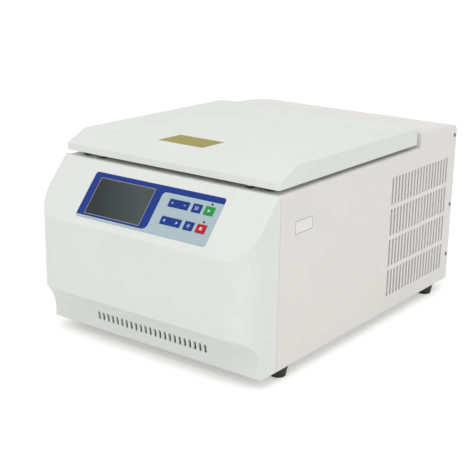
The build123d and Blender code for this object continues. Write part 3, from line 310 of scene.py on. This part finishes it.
# Hot dip zinc: dull silver in crystals about 9 mm across, each darker towards its middle
zinc = finish("galvanised_sheet_steel", zinc_grey, 0.38, grain=1.2, depth=0.01, metallic=0.9)
tree = zinc.node_tree
crystals = add(tree, "ShaderNodeTexVoronoi", {"Vector": coordinates(tree), "Scale": 1 / spangle_width})
tint = add(tree, "ShaderNodeMapRange", {"Value": crystals.outputs["Distance"], 3: spangle_dark, 4: 1.0})
shader = tree.nodes["Principled BSDF"]
under = shader.inputs["Base Color"].links[0].from_socket
shade = add(tree, "ShaderNodeMix", {0: 1.0, 6: under, 7: tint.outputs[0]}, data_type="RGBA",
            blend_type="MULTIPLY")
tree.links.new(shade.outputs[2], shader.inputs["Base Color"])
dress(zinc, "chamber_shelf", "bulkhead", "hinge_portal", "motor_plate", "bolt_guides")

# Drive: the motor hangs by its flange from a plate on four rubber dampers. Its housing and the inverter's
# case are die cast, the stator and armature are stacks of stamped sheet, and the bearings and the spindle
# are hardened and ground.
cast_grey = "#A6A8A9"
stack_grey = "#6E7072"
ground_grey = "#BFC1C2"
rubber_grey = "#4A4B4C"
# Die cast aluminium: a soft grey skin with faint flow marks
dress(finish("die_cast_aluminium", cast_grey, 0.5, grain=0.9, depth=0.06, mottle=0.06, metallic=0.9,
             edge=0.5), "motor_housing", "drive_inverter")
# Electrical steel: dark, with the edges of its thin sheets as lines round the stack
dress(finish("stamped_electrical_steel", stack_grey, 0.45, grain=0.5, depth=0.04, mottle=0.1, metallic=0.9,
             stretch=(0.1, 0.1, 2)), "motor_stator", "motor_armature")
# Ground steel: bright, with fine grinding lines round the shaft
dress(finish("ground_bearing_steel", ground_grey, 0.22, grain=0.2, depth=0.005, mottle=0.04, metallic=1.0,
             stretch=(0.2, 0.2, 4)), "motor_bearings", "spindle")
# Moulded rubber: a matt dark grey, a little uneven
soft_rubber = finish("moulded_soft_rubber", rubber_grey, 0.72, grain=0.5, depth=0.03, mottle=0.12, edge=0.5)
dress(soft_rubber, "motor_dampers")

# Chamber: a bowl of drawn stainless steel with the copper evaporator jacket round it, both set in poured
# foam. A rubber seal lies in the deck's opening, and a rubber boot closes the spindle's way in.
bowl_steel = "#C4C6C7"
bright_steel = "#C9CACA"
tube_copper = "#B8734B"
foam_cream = "#D8CFAE"
# Brushed stainless: lines round the bowl stretch each highlight. Real ones are about 0.05 mm wide, drawn
# nearly three times as coarse so that they show
dress(finish("brushed_stainless_steel", bowl_steel, 0.28, grain=0.4, depth=0.01, mottle=0.05, metallic=1.0,
             stretch=(0.12, 0.12, 3)), "chamber_bowl")
# Drawn copper: warm, and patchy brown where it was soldered
copper = finish("drawn_copper", tube_copper, 0.38, grain=0.8, depth=0.02, mottle=0.15, metallic=1.0)
dress(copper, "evaporator_jacket")
# Poured polyurethane foam: matt cream with a skin of small open cells, about 1.5 mm across
dress(finish("poured_polyurethane_foam", foam_cream, 0.9, grain=1.5, depth=0.2, mottle=0.08),
      "chamber_insulation", "lid_insulation")
dress(soft_rubber, "chamber_seal", "spindle_boot")
# Bright stainless: a clean pale metal with a fine upright grain, coarser here than the real one
bright_stainless = finish("bright_drawn_stainless_steel", bright_steel, 0.25, grain=0.3, depth=0.01,
                          mottle=0.05, metallic=1.0, stretch=(1, 1, 0.1))
dress(bright_stainless, "chamber_sensor")

# Refrigeration set behind the louvres: a welded and enamelled compressor pot on rubber grommets, a condenser
# of pressed fins on copper hairpins, and brazed copper pipes with the drier in line.
enamel_black = "#17181A"
fin_grey = "#8C9092"
fin_spacing = 0.001745
fin_relief = 0.0006
wave_turn = 2 * pi / 20  # a wave texture runs through one band in this length at a scale of 1
# Stoved enamel: deep black with a wet shine and a slight ripple
dress(finish("stoved_black_enamel", enamel_black, 0.3, grain=2, depth=0.03, mottle=0.2, edge=0.6),
      "compressor")
dress(soft_rubber, "compressor_grommets")
# Pressed aluminium fins: a dull silver block, ruled with upright lines about 1.75 mm apart
fins = finish("pressed_aluminium_fins", fin_grey, 0.4, grain=0.6, depth=0.01, mottle=0.08, metallic=0.9)
tree = fins.node_tree
shader = tree.nodes["Principled BSDF"]
rows = add(tree, "ShaderNodeTexWave", {"Vector": coordinates(tree), "Scale": wave_turn / fin_spacing},
           wave_type="BANDS", bands_direction="Y")
ruled = add(tree, "ShaderNodeBump", {"Height": rows.outputs["Fac"], "Distance": fin_relief,
                                     "Normal": shader.inputs["Normal"].links[0].from_socket})
tree.links.new(ruled.outputs[0], shader.inputs["Normal"])
dress(fins, "condenser")
dress(copper, "refrigerant_pipes", "filter_drier")

# Fan, mains inlet, mains switch, lock actuator and the display's case: bought in parts of black moulded
# nylon. The inlet is held by its flange, and the switch by a frame that snaps into the rear panel.
nylon_black = "#1D1D1F"
# Moulded nylon: satin black with a fine spark grain
dress(finish("moulded_black_nylon", nylon_black, 0.45, grain=0.5, depth=0.02, mottle=0.15, edge=0.4),
      "fan_shroud", "fan_motor", "fan_impeller", "mains_inlet", "switch_frame", "mains_switch",
      "lock_actuator", "display_module")

# Cabinet cover: one folded sheet of steel over both sides, the deck and the rear hump, powder coated in warm
# white. Three screws hold each rear edge. A bare label with a thin grey border is stuck on the right side.
coat_white = "#E7E6E2"
label_low = Vector((0, -0.203, 0.226))
label_high = Vector((0, -0.156, 0.2466))
label_radius = 0.0015
label_border = 0.0009
label_line = "#858685"
label_face = "#EDEDEB"
label_skin = 0.0002
seam_shadow_width = 0.0009
seam_painted_shadow = "#BDBDBA"
cover_screw_heights = (0.068, 0.1654, 0.2965)
cover_screw_setback = 0.007
cover_head_depth = 0.0018
cover_screw_length = 0.007


def patch(tree, place, low, high, radius, flat=(1, 1, 0), within=1.0):
    """Mask that is 1 inside a rounded rectangle; flat says which two coordinates it lies in, and within is a
    mask that it keeps to.
    """
    flat = Vector(flat)
    middle = (low + high) / 2 * flat
    reach = ((high - low) / 2 - Vector((radius, radius, radius))) * flat
    plane = add(tree, "ShaderNodeVectorMath", {0: place, 1: flat}, operation="MULTIPLY")
    local = add(tree, "ShaderNodeVectorMath", {0: plane.outputs[0], 1: middle}, operation="SUBTRACT")
    size = add(tree, "ShaderNodeVectorMath", {0: local.outputs[0]}, operation="ABSOLUTE")
    over = add(tree, "ShaderNodeVectorMath", {0: size.outputs[0], 1: reach}, operation="SUBTRACT")
    corner = add(tree, "ShaderNodeVectorMath", {0: over.outputs[0], 1: (0, 0, 0)}, operation="MAXIMUM")
    far = add(tree, "ShaderNodeVectorMath", {0: corner.outputs[0]}, operation="LENGTH")
    inside = add(tree, "ShaderNodeMath", {0: far.outputs["Value"], 1: radius},
                 operation="LESS_THAN").outputs[0]
    return add(tree, "ShaderNodeMath", {0: inside, 1: within}, operation="MULTIPLY").outputs[0]


def paint(tree, shader, mask, colour, roughness=None, metallic=None):
    """Lay a colour, and if given a gloss and metal, over what the shader has so far, where the mask is 1."""
    under = shader.inputs["Base Color"].links[0].from_socket
    over = add(tree, "ShaderNodeMix", {0: mask, 6: under, 7: linear(colour)}, data_type="RGBA")
    tree.links.new(over.outputs[2], shader.inputs["Base Color"])
    if roughness is not None:
        under = shader.inputs["Roughness"].links[0].from_socket
        over = add(tree, "ShaderNodeMix", {0: mask, 2: under, 3: roughness})
        tree.links.new(over.outputs[0], shader.inputs["Roughness"])
    if metallic is not None:
        scaled = add(tree, "ShaderNodeMath", {0: mask, 1: metallic}, operation="MULTIPLY")
        tree.links.new(scaled.outputs[0], shader.inputs["Metallic"])


cover_low, cover_high = (Vector(corner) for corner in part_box("cabinet_cover"))
# White powder coat: a warm, even satin with a faint orange peel. Along its seam with the front runs a painted
# shadow, a thin darker strip standing in for the shade in the gap
white_coat = finish("white_powder_coated_steel", coat_white, 0.4, grain=2.2, depth=0.03, edge=0.6)
tree = white_coat.node_tree
shader = tree.nodes["Principled BSDF"]
place = coordinates(tree)
across = add(tree, "ShaderNodeSeparateXYZ", {0: place})
outside = add(tree, "ShaderNodeMath", {0: across.outputs["X"], 1: cover_high.x - label_skin},
              operation="GREATER_THAN").outputs[0]
margin = Vector((0, label_border, label_border))
rim = patch(tree, place, label_low, label_high, label_radius, (0, 1, 1), outside)
face = patch(tree, place, label_low + margin, label_high - margin, label_radius, (0, 1, 1), outside)
paint(tree, shader, rim, label_line, roughness=0.3)
paint(tree, shader, face, label_face, roughness=0.25)
# Painted shadow: a darker strip along the cover's front edge, where the gap to the moulding would be in shade
in_seam_shadow = add(tree, "ShaderNodeMath", {0: across.outputs["Y"], 1: cover_low.y + seam_shadow_width},
              operation="LESS_THAN").outputs[0]
paint(tree, shader, in_seam_shadow, seam_painted_shadow)
dress(white_coat, "cabinet_cover")
screw_y = cover_high.y - cover_screw_setback
side_places = [((side * cover_high.x, screw_y, z), (side, 0, 0))
               for side in (-1, 1) for z in cover_screw_heights]
cover_screw = cross_screw("cover_screw", cover_head_depth, cover_screw_length)
set_out("cover_crosshead_screws", cover_screw, side_places, "housing", "cover_screws")

# Front moulding: one injection moulded piece of ABS, a little cooler than the steel beside it, with the
# sloped panel, the rounded front and the cove with its row of slots. It closes the cabinet's front.
abs_white = "#E9EBE8"
# Moulded ABS: satin, with a fine spark grain and softened edges
dress(finish("moulded_white_abs", abs_white, 0.42, grain=0.8, depth=0.02, edge=0.6), "front_moulding")

# Control panel film: a polyester sheet printed from behind and stuck on the slope. Blue covers the screen's
# side and a bar along the top, and pale blue-grey carries the keys. u runs to the right and v up the slope.
slope_foot = Vector((0, -0.324, 0.2074))
slope_lean = atan2(0.0866, 0.074)
print_blue = "#11388C"
print_pale = "#B0C4CA"
screen_line = "#B7A3A8"
line_width = 0.0008
line_radius = 0.001
blue_edge_u = 0.017
blue_low_v = 0.018
bar_low_v = 0.0847
bar_start = Vector((0, 0.06, 0))
blue_radius = 0.0095
notch_radius = 0.007
past_film = 0.3
screen_middle = Vector((-0.0566, 0.054, 0))
screen_half = Vector((0.0567, 0.03165, 0))
turn = Matrix.Rotation(-slope_lean, 3, "X")


def panel_coordinates(tree):
    """Object coordinates turned into the slope's own u, v and height."""
    return add(tree, "ShaderNodeMapping", {"Vector": coordinates(tree), "Rotation": (-slope_lean, 0, 0),
                                           "Location": -(turn @ slope_foot)}).outputs[0]


# Printed polyester: flat solid colours under a smooth film with a low sheen
film = finish("printed_polyester_film", print_pale, 0.36, grain=0.4, depth=0.006, mottle=0.015, shine=0.2)
tree = film.node_tree
shader = tree.nodes["Principled BSDF"]
place = panel_coordinates(tree)
end = Vector((past_film, past_film, 0))
screen_side = patch(tree, place, Vector((-past_film, blue_low_v, 0)), Vector((blue_edge_u, past_film, 0)),
                    blue_radius)
key_field = patch(tree, place, Vector((blue_edge_u, -past_film, 0)), Vector((past_film, bar_low_v, 0)),
                  notch_radius)
not_field = add(tree, "ShaderNodeMath", {0: 1.0, 1: key_field}, operation="SUBTRACT").outputs[0]
bar = patch(tree, place, bar_start, end, line_radius, within=not_field)
blue = add(tree, "ShaderNodeMath", {0: screen_side, 1: bar}, operation="MAXIMUM").outputs[0]
paint(tree, shader, blue, print_blue, roughness=0.3)
halo = Vector((line_width, line_width, 0))
paint(tree, shader, patch(tree, place, screen_middle - screen_half - halo, screen_middle + screen_half + halo,
                          line_radius), screen_line)
dress(film, "control_overlay")

# Screen and lamps: a dark display behind a hard coated window, and two small status lamps over the start and
# stop keys. All three show through cut-outs of the film.
screen_dark = "#232A2A"
screen_painted_reflection = "#434D4D"
reflection_slant = 0.55
reflection_start = -0.075
reflection_end = 0.02
lamp_black = "#1B1C1C"
# Coated glass: dark grey-green and smooth, with a painted reflection that makes it paler towards its upper
# right
glass = finish("coated_screen_glass", screen_dark, 0.12, grain=1, depth=0.001, mottle=0.05, shine=0.3)
tree = glass.node_tree
shader = tree.nodes["Principled BSDF"]
# Painted reflection: the base colour is blended towards a paler grey along a diagonal towards the upper
# right, standing in for light reflected in the window
spot = add(tree, "ShaderNodeSeparateXYZ", {0: panel_coordinates(tree)})
reflection_line = add(tree, "ShaderNodeMath", {0: spot.outputs["Y"], 1: reflection_slant, 2: spot.outputs["X"]},
               operation="MULTIPLY_ADD").outputs[0]
painted_reflection = add(tree, "ShaderNodeMapRange", {"Value": reflection_line, 1: reflection_start, 2: reflection_end},
            clamp=True).outputs[0]
under = shader.inputs["Base Color"].links[0].from_socket
reflected = add(tree, "ShaderNodeMix", {0: painted_reflection, 6: under, 7: linear(screen_painted_reflection)}, data_type="RGBA")
tree.links.new(reflected.outputs[2], shader.inputs["Base Color"])
dress(glass, "display_window")
# Smoked polycarbonate: a near black, glossy dot when its lamp is off
dress(finish("smoked_lamp_polycarbonate", lamp_black, 0.2, grain=0.5, depth=0.004, mottle=0.1),
      "status_lamps")

# Control board: a green circuit board on posts behind the slope, with a black push switch under each small
# key and two under each wide one. It is laminate with a green solder mask over its tracks.
mask_green = "#1F5B3A"
mask_second = "#235F3F"
track_green = "#3C8257"
track_row = 0.002778
row_share = 0.25
switch_black = "#26262A"
# Solder mask: a satin green over paler tracks, in rows about 2.8 mm high
board = finish("green_solder_mask", mask_green, 0.4, grain=0.4, depth=0.01, mottle=0.1)
tree = board.node_tree
tracks = add(tree, "ShaderNodeTexBrick", {"Vector": panel_coordinates(tree), "Scale": row_share / track_row,
                                          "Mortar Size": 0.03, "Color1": linear(mask_green),
                                          "Color2": linear(mask_second), "Mortar": linear(track_green)})
tree.links.new(tracks.outputs["Color"], tree.nodes["Principled BSDF"].inputs["Base Color"])
dress(board, "control_board")
# Switch plastic: plain dark grey with a dull surface
dress(finish("moulded_switch_plastic", switch_black, 0.5, grain=0.4, depth=0.01, mottle=0.1), "key_switches")

# Keys: moulded caps that stand a little proud of the film, four blue, a red stop and a green start. Each
# carries a pale pad printed sign of a plain kind.
stop_red = "#C01821"
start_green = "#1F9A3C"
ink_pale = "#C9D2E6"
key_top = 0.0014
ink_height = 0.00006
# Moulded caps: even satin colour with slightly rounded edges
dress(finish("moulded_blue_cap", print_blue, 0.38, grain=0.5, depth=0.012, mottle=0.04, edge=0.3,
             shine=0.2), "menu_key", "cool_key", "value_key", "select_key")
dress(finish("moulded_red_cap", stop_red, 0.38, grain=0.5, depth=0.012, mottle=0.04, edge=0.3,
             shine=0.2), "stop_key")
dress(finish("moulded_green_cap", start_green, 0.38, grain=0.5, depth=0.012, mottle=0.04, edge=0.3,
             shine=0.2), "start_key")
# Pad printed ink: flat and pale, and duller than the caps
ink = finish("pad_printed_ink", ink_pale, 0.5, grain=0.3, depth=0.004, mottle=0.03)
step_mark = 0.012
step_length = 0.0042
step_stroke = 0.0009
arrow_tip = 0.0145
arrow_root = 0.0105
arrow_half = 0.0024
menu_pitch = 0.0021
menu_length = 0.0072
menu_stroke = 0.0008
cool_length = 0.0075
cool_stroke = 0.0007
start_back = 0.0022
start_tip = 0.0030
start_half = 0.0028
stop_side = 0.0048


def panel_point(u, v, w):
    """Point of the part frame at u and v on the slope and w above it."""
    return turn.transposed() @ Vector((u, v, w)) + slope_foot


def stroke(u, v, length, width, angle=0.0):
    """Corners of a straight stroke about (u, v)."""
    along = Vector((cos(angle), sin(angle))) * length / 2
    beside = Vector((-sin(angle), cos(angle))) * width / 2
    middle = Vector((u, v))
    return [middle - along - beside, middle + along - beside,
            middle + along + beside, middle - along + beside]


def sign(name, body, outlines):
    """Thin printed sign on a key's top, made of flat outlines in the panel's u and v."""
    mesh = bpy.data.meshes.new(name)
    shape = bmesh.new()
    for outline in outlines:
        low = [shape.verts.new(panel_point(u, v, key_top)) for u, v in outline]
        top = [shape.verts.new(panel_point(u, v, key_top + ink_height)) for u, v in outline]
        shape.faces.new(top)
        shape.faces.new(low[::-1])
        for i in range(len(low)):
            j = (i + 1) % len(low)
            shape.faces.new((low[i], low[j], top[j], top[i]))
    shape.to_mesh(mesh)
    shape.free()
    mesh.materials.append(ink)
    piece = bpy.data.objects.new(name, mesh)
    bpy.context.scene.collection.objects.link(piece)
    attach(piece, body)


def key_middle(name):
    """Middle of a key's top in u and v."""
    low, high = (Vector(corner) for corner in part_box(name))
    middle = turn @ ((low + high) / 2 - slope_foot)
    return middle.x, middle.y


u, v = key_middle("select_key")
sign("plus_sign", "select_rocker",
     [stroke(u - step_mark, v, step_length, step_stroke, angle) for angle in (0, pi / 2)])
sign("minus_sign", "select_rocker", [stroke(u + step_mark, v, step_length, step_stroke)])
u, v = key_middle("value_key")
for side, name in ((-1, "left_arrow"), (1, "right_arrow")):
    tip = u + side * arrow_tip
    root = u + side * arrow_root
    corners = [Vector((tip, v)), Vector((root, v + arrow_half)), Vector((root, v - arrow_half))]
    sign(name, "value_rocker", [corners if side < 0 else corners[::-1]])
u, v = key_middle("menu_key")
sign("menu_sign", "menu_button",
     [stroke(u, v + row * menu_pitch, menu_length, menu_stroke) for row in (-1, 0, 1)])
u, v = key_middle("cool_key")
sign("cool_sign", "cool_button", [stroke(u, v, cool_length, cool_stroke, pi / 3 * arm) for arm in range(3)])
u, v = key_middle("start_key")
triangle = [Vector((u - start_back, v - start_half)), Vector((u + start_tip, v)),
            Vector((u - start_back, v + start_half))]
sign("start_sign", "start_button", [triangle])
u, v = key_middle("stop_key")
sign("stop_sign", "stop_button", [stroke(u, v, stop_side, stop_side)])

# Lid lock and hinge: the bar with its two bolts slides under the deck, the hooks hang from the lid, and the
# hinge arms turn on pins between fixed cheeks. All are cut from bright drawn stainless bar and plate.
dress(bright_stainless, "latch_bar", "lock_hooks", "hinge_arms", "hinge_cheeks", "hinge_pins")

# Rotor: turned from one aluminium block and hard anodised, with four bored wells. An eight sided nut of the
# same metal clamps it on the spindle's taper.
anodised_grey = "#8E9296"
turning_pitch = 0.001208
turning_relief = 0.000006
# Anodised aluminium: a dull even grey with turning rings, drawn 1.2 mm apart because real ones are too fine
rotor_metal = finish("hard_anodised_aluminium", anodised_grey, 0.34, grain=0.6, depth=0.008, mottle=0.04,
                     metallic=1.0, edge=0.5)
tree = rotor_metal.node_tree
shader = tree.nodes["Principled BSDF"]
chamber_middle = (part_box("chamber_bowl")[0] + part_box("chamber_bowl")[1]) / 2
centred = add(tree, "ShaderNodeVectorMath",
              {0: coordinates(tree), 1: (chamber_middle.x, chamber_middle.y, 0)},
              operation="SUBTRACT").outputs[0]
rings = add(tree, "ShaderNodeTexWave", {"Vector": centred, "Scale": wave_turn / turning_pitch,
                                        "Distortion": 0.3}, wave_type="RINGS", rings_direction="Z")
turned = add(tree, "ShaderNodeBump", {"Height": rings.outputs["Fac"], "Distance": turning_relief,
                                      "Normal": shader.inputs["Normal"].links[0].from_socket})
tree.links.new(turned.outputs[0], shader.inputs["Normal"])
dress(rotor_metal, "angle_rotor", "rotor_nut")

# Lid: an injection moulded shell of the front's ABS over foam, closed below by a formed liner and landing on
# two rubber bumpers. A bare plate of gold anodised foil is stuck on its top, behind the crease.
plate_low = Vector((-0.053, -0.202, 0))
plate_high = Vector((0.038, -0.146, 0))
plate_radius = 0.0015
plate_border = 0.0008
plate_gold = "#998C12"
plate_edge = "#8F8440"
top_skin = 0.001
liner_grey = "#D9DBDA"
# Moulded ABS again, duller than the front; the foil plate on it is olive gold with a slight metal glint
lid_abs = finish("moulded_lid_abs", abs_white, 0.4, grain=0.8, depth=0.02, edge=0.6, shine=0.15)
tree = lid_abs.node_tree
shader = tree.nodes["Principled BSDF"]
place = coordinates(tree)
height = add(tree, "ShaderNodeSeparateXYZ", {0: place}).outputs["Z"]
on_top = add(tree, "ShaderNodeMath", {0: height, 1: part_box("lid_shell")[1][2] - top_skin},
             operation="GREATER_THAN").outputs[0]
border = Vector((plate_border, plate_border, 0))
rim = patch(tree, place, plate_low, plate_high, plate_radius, within=on_top)
face = patch(tree, place, plate_low + border, plate_high - border, plate_radius, within=on_top)
paint(tree, shader, rim, plate_edge, roughness=0.4)
paint(tree, shader, face, plate_gold, roughness=0.4, metallic=0.3)
dress(lid_abs, "lid_shell")
# Formed ABS sheet: a cooler, duller grey than the shell
dress(finish("formed_grey_abs", liner_grey, 0.5, grain=1.2, depth=0.03, edge=0.4), "lid_liner")
dress(soft_rubber, "lid_bumpers")
